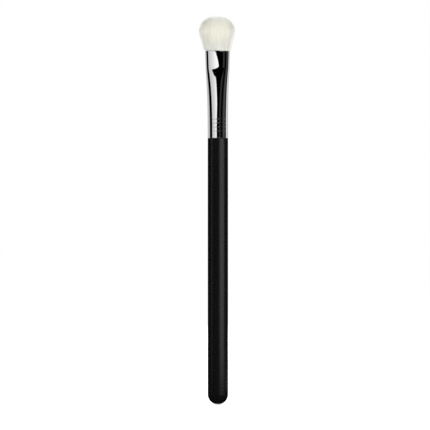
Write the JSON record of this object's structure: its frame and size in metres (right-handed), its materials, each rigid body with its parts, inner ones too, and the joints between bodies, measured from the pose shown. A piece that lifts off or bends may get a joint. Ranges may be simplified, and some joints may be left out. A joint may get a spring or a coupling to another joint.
{
  "type": "makeup brush",
  "caption": "Flat shader makeup brush with a domed tuft of cream bristles, a pressed and crimped chrome ferrule and a slim black round-ended handle.",
  "frame": {"origin": "lowest point of the handle's round end, on the brush's axis", "axes": "+Z along the brush from the handle's end to the bristle tips, +X across the wide face of the bristles, -Y out of the wide face that the picture shows"},
  "size_m": [0.0142, 0.0082, 0.155],
  "materials": {
    "handle_lacquer": "satin black lacquer",
    "ferrule_chrome": "polished",
    "bristle": "soft cream synthetic bristle",
    "thread": "waxed thread",
    "epoxy": "cured amber epoxy"
  },
  "bodies": {
    "root": {"handle": "handle_lacquer", "ferrule": "ferrule_chrome", "bristle_tuft": "bristle", "binding_thread": "thread", "glue_plug": "epoxy"}
  },
  "joints": []
}
